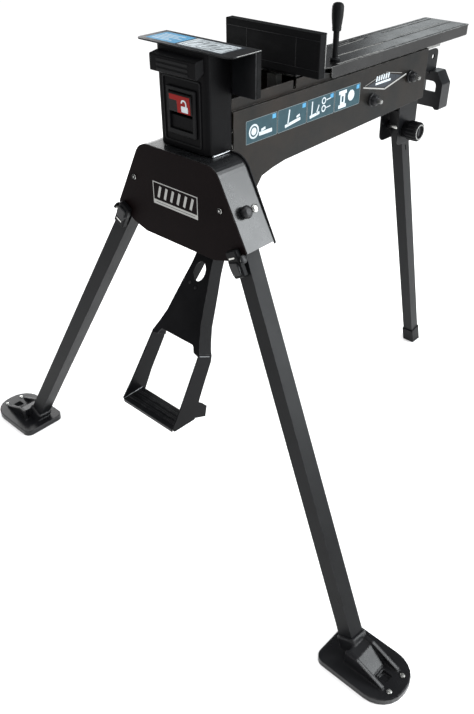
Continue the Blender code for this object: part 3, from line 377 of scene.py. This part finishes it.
def facing(direction, across, place):
    """A frame at a place: Z out along a direction, X along another."""
    out = Vector(direction).normalized()
    right = Vector(across).normalized()
    up = out.cross(right)
    return Matrix.Translation(place) @ Matrix((right, up, out)).transposed().to_4x4()


def decal(name, loops, skin, body, place, low, high):
    """Flat shapes of one colour, a fraction of a millimetre thick, on a face."""
    shape = bmesh.new()
    for loop in loops:
        prism(shape, loop, low, high)
    return piece(name, shape, skin, body, place, smooth=False)


def lathe(name, profile, skin, body, place, steps=32, ribs=0, depth=0.0, band=(0.0, 0.0)):
    """A profile of (radius, height) turned round Z, with flutes cut into one band of heights."""
    shape = bmesh.new()
    rings = []
    for radius, height in profile:
        ring = []
        for step in range(steps):
            angle = 2 * math.pi * step / steps
            reach = radius
            if ribs and band[0] <= height <= band[1] and step * ribs % steps < steps / 2:
                reach -= depth
            ring.append(shape.verts.new((reach * math.cos(angle), reach * math.sin(angle), height)))
        rings.append(ring)
    for ring, following in zip(rings, rings[1:]):
        for index in range(steps):
            after = (index + 1) % steps
            shape.faces.new((ring[index], ring[after], following[after], following[index]))
    shape.faces.new(rings[0])
    shape.faces.new(rings[-1])
    return piece(name, shape, skin, body, place)


def bead(name, points, radius, skin, body, ripple=0.25, spacing=0.0016):
    """A weld bead: a low rounded run with the ripple of its puddles."""
    shape = bmesh.new()
    path = [Vector(point) for point in points]
    rings = []
    for start, end in zip(path, path[1:]):
        count = max(2, int((end - start).length / spacing))
        turn = (end - start).to_track_quat("Z", "Y").to_matrix()
        for step in range(count + (end is path[-1])):
            middle = start.lerp(end, step / count)
            size = radius * (1 - ripple * (len(rings) % 2))
            first_or_last = not rings or (end is path[-1] and step == count)
            size *= 0.45 if first_or_last else 1
            rings.append([shape.verts.new(middle + turn @ Vector((size * math.cos(a), size * math.sin(a), 0)))
                          for a in (2 * math.pi * side / 10 for side in range(10))])
    for ring, following in zip(rings, rings[1:]):
        for side in range(10):
            after = (side + 1) % 10
            shape.faces.new((ring[side], ring[after], following[after], following[side]))
    shape.faces.new(rings[0])
    shape.faces.new(rings[-1])
    return piece(name, shape, skin, body)


def socket_head(name, place, radius, body, skin, hexagon=0.55):
    """A hex-socket button head laid on top of a CAD bolt."""
    shape = bmesh.new()
    rings = []
    profile = ((0.96, 0.0, 24), (0.98, 0.0006, 24), (0.80, 0.0016, 24), (hexagon, 0.0019, 6), (hexagon, 0.0005, 6))
    for share, height, sides in profile:
        ring = []
        for step in range(24):
            angle = 2 * math.pi * step / 24
            reach = radius * share
            if sides == 6:
                reach *= math.cos(math.pi / 6) / math.cos(angle % (math.pi / 3) - math.pi / 6)
            ring.append(shape.verts.new((reach * math.cos(angle), reach * math.sin(angle), height)))
        rings.append(ring)
    for ring, following in zip(rings, rings[1:]):
        for index in range(24):
            after = (index + 1) % 24
            shape.faces.new((ring[index], ring[after], following[after], following[index]))
    shape.faces.new(rings[0])
    shape.faces.new(rings[-1])
    return piece(name, shape, skin, body, place)


# Labels ----------------------------------------------------------------------------------------


def front_badge():
    """The silver outline, the solid bar under it and plain slanted strokes in place of any name."""
    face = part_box("front_plate")[0].y
    place = facing((0, -1, 0), (1, 0, 0), Vector((0, face, SHIFT.z)))
    shape = bmesh.new()
    hoop(shape, block(-0.0560, 0.6225, 0.0460, 0.6600), block(-0.0545, 0.6300, 0.0445, 0.6585), 0.00005, 0.00025)
    for step in range(6):
        x = -0.0440 + 0.0148 * step
        prism(shape, bar(x, 0.6345, x + 0.0060, 0.6540, 0.0050), 0.00005, 0.00025)
    piece("badge_outline", shape, SILVER, "stand", place, smooth=False)
    decal("badge_rule", [block(-0.0500, 0.6258, 0.0400, 0.6266)], DARK_PRINT, "stand", place, 0.00026, 0.00034)


# The lower and upper face of a printed sign, above the face that it is printed on.
INK = (0.00022, 0.00034)


def instruction_strip():
    """Four teal panels on the beam's side with plain white pictograms."""
    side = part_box("main_beam")[1].x
    place = facing((1, 0, 0), (0, 1, 0), Vector((side, SHIFT.y, SHIFT.z)))
    start, end, low, high = -0.2820, 0.0180, 0.7170, 0.7535
    width = (end - start) / 4
    one, two, three, four = (start + width * n for n in range(4))
    edges = [(x + 0.0008, x + width - 0.0008) for x in (one, two, three, four)]
    decal("strip_panels", [soft_block(x0, low, x1, high, 0.002) for x0, x1 in edges], TEAL, "stand", place,
          0.00005, 0.00020)
    frames = bmesh.new()
    for x0, x1 in edges:
        hoop(frames, soft_block(x0, low, x1, high, 0.002),
             soft_block(x0 + 0.0006, low + 0.0006, x1 - 0.0006, high - 0.0006, 0.0015), 0.00020, 0.00026)
    piece("strip_frames", frames, PALE_LINE, "stand", place, smooth=False)
    corners = [block(x1 - 0.0117, high - 0.0090, x1 - 0.0032, high - 0.0022) for x0, x1 in edges]
    decal("strip_corners", corners, LIGHT_BLUE, "stand", place, 0.00022, 0.00030)

    shape = bmesh.new()
    loops = [disc(one + 0.019, 0.7345, 0.0060),
             bar(one + 0.031, 0.7275, one + 0.062, 0.7275, 0.0060),
             bar(one + 0.036, 0.7325, one + 0.046, 0.7345, 0.0040),
             bar(two + 0.026, 0.7260, two + 0.030, 0.7490, 0.0030),
             bar(two + 0.019, 0.7240, two + 0.058, 0.7290, 0.0050),
             bar(two + 0.048, 0.7330, two + 0.056, 0.7355, 0.0035),
             bar(three + 0.013, 0.7270, three + 0.014, 0.7490, 0.0028),
             bar(three + 0.008, 0.7240, three + 0.034, 0.7270, 0.0050),
             bar(three + 0.026, 0.7270, three + 0.032, 0.7400, 0.0026),
             bar(three + 0.052, 0.7440, three + 0.064, 0.7450, 0.0016),
             bar(three + 0.052, 0.7310, three + 0.064, 0.7320, 0.0016),
             bar(four + 0.012, 0.7235, four + 0.034, 0.7235, 0.0060),
             bar(four + 0.012, 0.7470, four + 0.034, 0.7470, 0.0060),
             disc(four + 0.048, 0.7370, 0.0095, 10)]
    for loop in loops:
        prism(shape, loop, *INK)
    rings = [(disc(one + 0.019, 0.7345, 0.0115), disc(one + 0.019, 0.7345, 0.0085)),
             (disc(three + 0.045, 0.7440, 0.0058), disc(three + 0.045, 0.7440, 0.0036)),
             (disc(three + 0.045, 0.7310, 0.0058), disc(three + 0.045, 0.7310, 0.0036)),
             (soft_block(four + 0.0165, 0.7265, four + 0.0300, 0.7440, 0.002),
              soft_block(four + 0.0205, 0.7300, four + 0.0260, 0.7405, 0.001))]
    for outer, inner in rings:
        hoop(shape, outer, inner, *INK)
    piece("strip_pictograms", shape, WHITE, "stand", place, smooth=False)


def beam_badge():
    """The silver V with its dark diamond and a blank plate, without any name."""
    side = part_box("main_beam")[1].x
    place = facing((1, 0, 0), (0, 1, 0), Vector((side, SHIFT.y, SHIFT.z)))
    strokes = [bar(0.0270, 0.7418, 0.0965, 0.7262, 0.0022), bar(0.0955, 0.7262, 0.1660, 0.7402, 0.0026),
               bar(0.0330, 0.7435, 0.0900, 0.7550, 0.0006), bar(0.0960, 0.7560, 0.1500, 0.7450, 0.0006)]
    decal("v_badge_lines", strokes, SILVER, "stand", place, 0.00005, 0.00030)
    diamond = [(0.0400, 0.7415), (0.0955, 0.7290), (0.1520, 0.7405), (0.1000, 0.7530)]
    decal("v_badge_field", [diamond], DARK_PRINT, "stand", place, 0.00005, 0.00018)
    slats = [bar(0.0670 + 0.0075 * step, 0.7445, 0.0690 + 0.0075 * step, 0.7535, 0.0042) for step in range(6)]
    slats.append(block(0.0650, 0.7385, 0.1130, 0.7425))
    decal("v_badge_plate", slats, WHITE, "stand", place, 0.00020, 0.00030)


def jaw_label():
    """The label on the fixed jaw's top: a light-blue field at the left and a worn grey one beside it."""
    low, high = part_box("fixed_jaw_plate")
    place = facing((0, 0, 1), (1, 0, 0), Vector((0, SHIFT.y, high.z)))
    decal("jaw_label_base", [soft_block(-0.0900, -0.3540, 0.0750, -0.3010, 0.003)], DARK_PRINT, "stand", place,
          0.00005, 0.00015)
    decal("jaw_label_blue", [soft_block(-0.0860, -0.3500, -0.0230, -0.3050, 0.002)], LIGHT_BLUE, "stand", place,
          0.00016, 0.00024)
    decal("jaw_label_grey", [soft_block(-0.0190, -0.3490, 0.0700, -0.3060, 0.002)], GREY_PRINT, "stand", place,
          0.00016, 0.00024)
    marks = [block(-0.0800, -0.3170 - 0.0065 * row, -0.0800 + length, -0.3145 - 0.0065 * row)
             for row, length in enumerate((0.046, 0.038, 0.050, 0.030, 0.042))]
    decal("jaw_label_lines", marks, WHITE, "stand", place, 0.00025, 0.00032)
    frames = bmesh.new()
    for column in range(3):
        x = -0.0140 + 0.0285 * column
        hoop(frames, soft_block(x, -0.3450, x + 0.0250, -0.3100, 0.002),
             soft_block(x + 0.0010, -0.3440, x + 0.0240, -0.3110, 0.0015), 0.00025, 0.00033)
        prism(frames, bar(x + 0.006, -0.3380, x + 0.018, -0.3180, 0.0030), 0.00025, 0.00033)
    piece("jaw_label_frames", frames, DARK_PRINT, "stand", place, smooth=False)


def padlock():
    """The red field on the release key, the open padlock on it, and the dark plate under it."""
    place = facing((0, -0.029, -0.002), (1, 0, 0), at(0, -0.3651, 0.7740))
    shape = bmesh.new()
    outline = [(-0.0215, 0.0265), (0.0215, 0.0265), (0.0215, 0.0010), (-0.0060, 0.0010), (-0.0060, 0.0185),
               (-0.0215, 0.0185)]
    prism(shape, outline, -0.0002, 0.0003)
    piece("key_red_field", shape, RED, "rocker", place, 0.0001, smooth=False)
    shape = bmesh.new()
    prism(shape, soft_block(0.0030, 0.0030, 0.0170, 0.0120, 0.0012), 0.0003, 0.0007)
    turns = [math.pi * step / 10 for step in range(11)]
    arch_out = [(0.0090 + 0.0058 * math.cos(a), 0.0160 + 0.0058 * math.sin(a)) for a in turns]
    arch_in = [(0.0090 + 0.0036 * math.cos(a), 0.0160 + 0.0034 * math.sin(a)) for a in turns]
    prism(shape, arch_out + arch_in[::-1], 0.0003, 0.0007)
    prism(shape, block(0.0126, 0.0120, 0.0148, 0.0160), 0.0003, 0.0007)
    piece("padlock_sign", shape, WHITE, "rocker", place, smooth=False)
    window = facing((0, -1, 0), (1, 0, 0), at(0, -0.3600, 0))
    lower = bmesh.new()
    prism(lower, soft_block(-0.0240, 0.7490, 0.0240, 0.7690, 0.002), -0.0020, 0.0015)
    piece("window_plate", lower, PLASTIC_COLUMN, "stand", window, 0.0004)


# Details ---------------------------------------------------------------------------------------


def column_details():
    """The panel moulded into the column's front, the slats under the hood and the welds at its foot, whose bright
    metal is partly a painted highlight.
    """
    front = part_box("column_shell")[0].y
    place = facing((0, -1, 0), (1, 0, 0), Vector((0, front, SHIFT.z)))
    shape = bmesh.new()
    hoop(shape, soft_block(-0.0400, 0.7270, 0.0400, 0.8250, 0.004),
         soft_block(-0.0375, 0.7295, 0.0375, 0.8225, 0.003),
         -0.0003, 0.0016)
    piece("column_panel_rim", shape, PLASTIC, "stand", place, 0.0004)
    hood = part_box("column_hood")[0].y
    place = facing((0, -1, 0), (1, 0, 0), Vector((0, hood, SHIFT.z)))
    shape = bmesh.new()
    for row in range(3):
        height = 0.8335 + 0.0068 * row
        prism(shape, soft_block(-0.0330, height, 0.0330, height + 0.0040, 0.001), -0.0003, 0.0006)
    piece("hood_slats", shape, PLASTIC, "stand", place, 0.0002)
    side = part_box("column_shell")[1].x
    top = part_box("bracket_band")[1].z
    for name, x in (("right", side + 0.0010), ("left", -side - 0.0010)):
        bead(f"column_weld_{name}", [(x, front + 0.006, top + 0.0016), (x, front + 0.046, top + 0.0016)], 0.0021,
             WELD_WITH_HIGHLIGHT, "stand")


def slide_details():
    """The long beads pressed into the slide's top, two of them broken in the middle."""
    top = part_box("slide_channel")[1].z
    place = facing((0, 0, 1), (0, 1, 0), Vector((0, SHIFT.y, top)))
    runs = ((0.0110, -0.022, 0.386), (-0.0350, -0.022, 0.165), (-0.0350, 0.205, 0.386), (0.0450, -0.045, 0.388),
            (-0.0460, -0.045, 0.388))
    shape = bmesh.new()
    for across, start, end in runs:
        prism(shape, soft_block(start, -across - 0.0016, end, -across + 0.0016, 0.0014, 3), -0.0002, 0.0008)
    piece("slide_beads", shape, PAINT_SLIDE, "jaw_slide", place, 0.0005)
    # Silver lines along the lips of the slide's top: slight wear, with painted highlights.
    worn = [bar(-0.022, -0.0132, 0.1385, -0.0146, 0.0012), bar(0.046, 0.0262, 0.140, 0.0310, 0.0009),
            bar(0.200, -0.0030, 0.385, -0.0030, 0.0006), bar(-0.044, -0.0474, 0.090, -0.0474, 0.0009)]
    decal("slide_worn_highlight_lips", worn, SILVER, "jaw_slide", place, 0.0001, 0.0004)


def pedal_details():
    """Weld seams at the pedal's knees and tread, bright partly as a painted highlight, and the rivets beside its
    window.
    """
    for name, sign in (("right", 1), ("left", -1)):
        seam = [at(sign * 0.0602, -0.4030, 0.3825), at(sign * 0.0602, -0.3790, 0.3705)]
        bead(f"pedal_weld_{name}", seam, 0.0008, WELD_WITH_HIGHLIGHT, "pedal")
    bead("tread_weld", [at(-0.0630, -0.4350, 0.2732), at(-0.0630, -0.4780, 0.2718)], 0.0008, WELD_WITH_HIGHLIGHT, "pedal")
    tilt = math.radians(29.6)
    up = Vector((0, math.sin(tilt), math.cos(tilt)))
    out = Vector((0, -math.cos(tilt), math.sin(tilt)))
    for name, x, rise in (("a", -0.0120, 0.1120), ("b", 0.0035, 0.1075)):
        place = facing(out, (1, 0, 0), at(x, -0.4056, 0.3809) + up * rise + out * 0.0001)
        socket_head(f"pedal_rivet_{name}", place, 0.0028, "pedal", DARK_STEEL, 0.3)


def moving_jaw_details():
    """The step moulded along the facing of the moving jaw, and pale steel strips on its folded ends as a painted
    highlight.
    """
    low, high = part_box("moving_jaw_pad")
    place = facing((0, -1, 0), (1, 0, 0), Vector((0, low.y, 0)))
    shape = bmesh.new()
    for height in (high.z - 0.0105, low.z + 0.0120):
        prism(shape, block(low.x + 0.001, height - 0.0004, high.x - 0.001, height + 0.0004), -0.0002, 0.0003)
    for x in (-0.052, 0.052):
        prism(shape, block(x - 0.0004, low.z + 0.0125, x + 0.0004, high.z - 0.0110), -0.0002, 0.0003)
    piece("moving_pad_steps", shape, PLASTIC_SATIN, "jaw_slide", place, smooth=False)
    low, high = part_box("moving_jaw_plate")
    for name, x, sign in (("right", high.x, 1), ("left", low.x, -1)):
        place = facing((sign, 0, 0), (0, sign, 0), Vector((x, 0, 0)))
        y0, y1 = sorted((sign * (low.y + 0.0003), sign * (low.y + 0.0017)))
        # Pale steel strips on the folded ends: a painted highlight.
        edge = bmesh.new()
        prism(edge, block(y0, low.z + 0.020, y1, high.z - 0.002), -0.0002, 0.0001)
        piece(f"moving_plate_highlight_{name}", edge, STEEL, "jaw_slide", place, smooth=False)


def fixed_jaw_details():
    """The pale edges where the coating of the fixed jaw's plate has worn."""
    low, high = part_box("fixed_jaw_plate")
    shape = bmesh.new()
    for x0, x1 in ((low.x - 0.0001, low.x + 0.0003), (high.x - 0.0003, high.x + 0.0001)):
        prism(shape, block(x0, low.y + 0.013, x1, high.y - 0.001), high.z - 0.0010, high.z - 0.0002)
    piece("fixed_plate_edges", shape, STEEL, "stand", None, smooth=False)


def bolt_heads():
    """Sockets in the heads of the jaw, plate and foot screws, and a second screw head on each foot."""
    for side, x in (("right", 1), ("left", -1)):
        low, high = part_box(f"jaw_screw_{side}")
        middle = (low + high) / 2
        place = facing((0, 0, 1), (1, 0, 0), Vector((middle.x, middle.y, high.z - 0.0012)))
        socket_head(f"jaw_socket_{side}", place, 0.0044, "jaw_slide", DARK_STEEL)
        low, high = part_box(f"plate_screw_{side}")
        middle = (low + high) / 2
        place = facing((0, -1, 0), (1, 0, 0), Vector((middle.x, low.y + 0.0012, middle.z)))
        socket_head(f"plate_socket_{side}", place, 0.0040, "stand", DARK_STEEL)
        low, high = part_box(f"foot_screw_{side}")
        middle = (low + high) / 2
        place = Vector((middle.x, middle.y, high.z - 0.0012))
        socket_head(f"foot_socket_{side}", facing((0, 0, 1), (1, 0, 0), place), 0.0040, f"leg_{side}", ZINC, 0.4)
        second = place + Vector((0, 0.038, 0))
        lathe(f"foot_screw_b_{side}", [(0.0044, 0.0), (0.0044, 0.0008), (0.0034, 0.0020), (0.0010, 0.0024)], ZINC,
              f"leg_{side}", Matrix.Translation(second - Vector((0, 0, 0.0008))), 20)


def rear_knob():
    """The ribbed star knob of the rear leg: a fluted grip, a narrower neck and a rim round its end."""
    low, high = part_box("rear_knob")
    middle = (low + high) / 2
    radius = (high.z - low.z) / 2
    place = facing((1, 0, 0), (0, 1, 0), Vector((low.x, middle.y, middle.z)))
    length = high.x - low.x
    profile = [(radius * 0.42, 0.0), (radius * 0.84, 0.0), (radius * 0.88, length * 0.10),
               (radius * 0.88, length * 0.24), (radius * 0.97, length * 0.30), (radius * 0.99, length * 0.36),
               (radius * 0.99, length * 0.86), (radius * 0.95, length * 0.93), (radius * 0.80, length * 0.99),
               (radius * 0.62, length * 0.99), (radius * 0.56, length * 0.90), (radius * 0.10, length * 0.90)]
    knob = lathe("rear_knob_grip", profile, PLASTIC, "rear_knob_body", place, 96, 16, 0.0013,
                 (length * 0.29, length * 0.94))
    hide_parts("rear_knob")
    slot = bmesh.new()
    prism(slot, soft_block(-0.0016, -0.0080, 0.0016, 0.0080, 0.0014), length * 0.89, length * 0.915)
    piece("rear_knob_slot", slot, DARK_STEEL, "rear_knob_body", place)
    rim = bmesh.new()
    hoop(rim, disc(0, 0, radius * 0.79, 48), disc(0, 0, radius * 0.66, 48), length * 0.97, length * 0.995)
    piece("rear_knob_rim", rim, STEEL, "rear_knob_body", place, 0.0003)


def lever_handle():
    """The grip on the clamp lever: a smooth waisted handle with a domed top and a few rings."""
    low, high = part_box("lever_grip")
    middle = (low + high) / 2
    place = Matrix.Translation((middle.x, middle.y, low.z))
    tall = high.z - low.z
    wide = (high.x - low.x) / 2
    profile = [(wide * 0.45, 0.0), (wide * 0.70, 0.0), (wide * 0.78, tall * 0.04), (wide * 0.74, tall * 0.07),
               (wide * 0.80, tall * 0.11), (wide * 0.76, tall * 0.15), (wide * 0.86, tall * 0.30),
               (wide * 0.96, tall * 0.52), (wide * 0.99, tall * 0.74), (wide * 0.97, tall * 0.86),
               (wide * 0.82, tall * 0.95), (wide * 0.50, tall * 0.99), (wide * 0.12, tall)]
    grip = lathe("lever_handle", profile, PLASTIC, "clamp_lever", place, 40)
    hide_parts("lever_grip")


def leg_latches():
    """The hooked catch of each leg latch, its silver clip and the collars of its pin."""
    for side, sign in (("right", 1), ("left", -1)):
        low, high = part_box(f"leg_stop_{side}")
        pin_low, pin_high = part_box(f"stop_pin_{side}")
        lean = Vector((sign * math.cos(math.radians(28.6)), 0, math.sin(math.radians(28.6))))
        along = Vector((-sign * lean.z, 0, abs(lean.x)))
        middle = (low + high) / 2
        for end in (-1, 1):
            tip = (pin_low + pin_high) / 2 + lean * (0.0140 * end)
            lathe(f"latch_collar_{side}_{'out' if end > 0 else 'in'}",
                  [(0.0036, 0.0), (0.0062, 0.0005), (0.0066, 0.0022), (0.0046, 0.0032), (0.0010, 0.0036)],
                  PLASTIC_SATIN, "stand", facing(lean * end, along, tip - lean * end * 0.0014), 24)
        front = facing((0, -1, 0), lean, middle + Vector((0, low.y - middle.y, 0)))
        hook = bmesh.new()
        prism(hook, [(-0.0085, -0.0170), (0.0085, -0.0170), (0.0095, -0.0040), (0.0070, 0.0030), (-0.0095, 0.0050),
                     (-0.0100, -0.0040)], -0.0010, 0.0030)
        piece(f"latch_hook_{side}", hook, PLASTIC_SATIN, "stand", front, 0.0012)
        clip = bmesh.new()
        prism(clip, soft_block(-0.0065, 0.0090, 0.0065, 0.0118, 0.0010), -0.0004, 0.0012)
        piece(f"latch_clip_{side}", clip, ZINC, "stand", front, 0.0003)


def dress():
    dress_nodes()
    front_badge()
    instruction_strip()
    beam_badge()
    jaw_label()
    padlock()
    column_details()
    slide_details()
    pedal_details()
    moving_jaw_details()
    fixed_jaw_details()
    bolt_heads()
    rear_knob()
    lever_handle()
    leg_latches()


# Studio ----------------------------------------------------------------------------------------


def studio_floor():
    shape = bmesh.new()
    bmesh.ops.create_grid(shape, x_segments=4, y_segments=4, size=40)
    mesh = bpy.data.meshes.new("floor")
    shape.to_mesh(mesh)
    shape.free()
    floor = bpy.data.objects.new("floor", mesh)
    floor.location = (0, 0, -0.0004)
    mesh.materials.append(pale_floor())
    bpy.context.scene.collection.objects.link(floor)


def softbox(name, place, target, size, power, colour=(1, 1, 1)):
    light = bpy.data.lights.new(name, "AREA")
    light.shape = "RECTANGLE"
    light.size, light.size_y = size
    light.energy = power
    light.color = colour
    obj = bpy.data.objects.new(name, light)
    bpy.context.scene.collection.objects.link(obj)
    obj.location = place
    aim = Vector(target) - Vector(place)
    obj.rotation_euler = aim.to_track_quat("-Z", "Y").to_euler()


def studio_lights():
    """A white surround for the floor, a dim one in reflections, and five big softboxes."""
    softbox("key", (0.9, -1.6, 2.9), (0, 0, 0.5), (2.2, 2.2), 40)
    softbox("side_window", (2.20, 1.20, 1.05), (0.1, -0.3, 0.62), (1.6, 1.3), 62, (0.94, 0.98, 1.0))
    softbox("upper_side", (1.45, 0.90, 2.00), (0.4, -0.3, 0.1), (1.0, 0.8), 26, (0.95, 0.98, 1.0))
    softbox("back", (-1.06, 3.0, 1.70), (0, 0.3, 0.8), (1.44, 1.0), 5.9, (0.92, 0.98, 1.0))
    softbox("left_fill", (-2.4, 0.7, 1.2), (0, 0, 0.6), (1.6, 1.4), 26)
    world = bpy.data.worlds.new("studio")
    bpy.context.scene.world = world
    world.use_nodes = True
    tree = world.node_tree
    ray = tree.nodes.new("ShaderNodeLightPath")
    mix = tree.nodes.new("ShaderNodeMix")
    mix.data_type = "RGBA"
    tree.links.new(ray.outputs["Is Glossy Ray"], mix.inputs["Factor"])
    mix.inputs[6].default_value = (1.0, 1.0, 1.0, 1)
    mix.inputs[7].default_value = (0.16, 0.165, 0.17, 1)
    tree.links.new(mix.outputs[2], tree.nodes["Background"].inputs["Color"])
    tree.nodes["Background"].inputs["Strength"].default_value = 1.18
    bpy.context.scene.view_settings.view_transform = "Standard"


# The main view, from the front right and above.
VIEW_TURN = math.radians(43.30)
VIEW_DOWN = math.radians(34.80)
VIEW_ROLL = math.radians(-0.32)
VIEW_PLACE = at(0.8339, -1.1310, 1.1187)
SENSOR_MM = 36
LENS_MM = 38.2134


def camera():
    """The camera of the main view."""
    turn, down = VIEW_TURN, VIEW_DOWN
    look = Vector((-math.sin(turn) * math.cos(down), math.cos(turn) * math.cos(down), -math.sin(down)))
    lens = bpy.data.cameras.new("camera")
    lens.sensor_width = SENSOR_MM
    lens.lens = LENS_MM
    lens.clip_end = 200
    obj = bpy.data.objects.new("camera", lens)
    bpy.context.scene.collection.objects.link(obj)
    aim = look.to_track_quat("-Z", "Y").to_matrix().to_4x4()
    obj.matrix_world = Matrix.Translation(VIEW_PLACE) @ aim @ Matrix.Rotation(VIEW_ROLL, 4, "Z")
    bpy.context.scene.camera = obj


dress()
studio_floor()
studio_lights()
camera()
